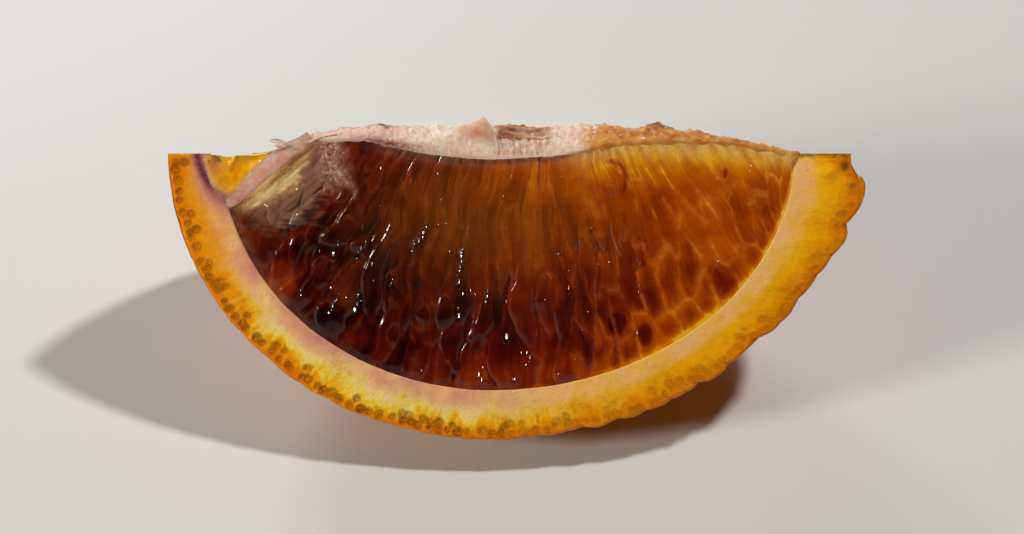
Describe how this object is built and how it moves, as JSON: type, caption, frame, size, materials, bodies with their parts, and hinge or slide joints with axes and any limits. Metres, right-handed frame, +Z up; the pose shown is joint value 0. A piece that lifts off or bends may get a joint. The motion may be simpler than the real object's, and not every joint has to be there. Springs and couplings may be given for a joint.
{
  "type": "blood orange wedge",
  "caption": "Wedge of blood orange cut pole to pole, lying on its peel, with fanned dark red juice sacs, pale pith and oily rind.",
  "frame": {"origin": "middle of the footprint's box, at the height of the surface the wedge rests on", "axes": "+X along the fruit's axis from the blossom end to the stem end, -Y towards the front cut face, +Z up"},
  "size_m": [0.0699, 0.033, 0.0315],
  "materials": {
    "orange_flesh_and_peel": "wet juice sacs from dark maroon to orange, matt cream pith, satin orange rind with oil glands"
  },
  "bodies": {
    "root": {"orange_wedge": "orange_flesh_and_peel"}
  },
  "joints": []
}
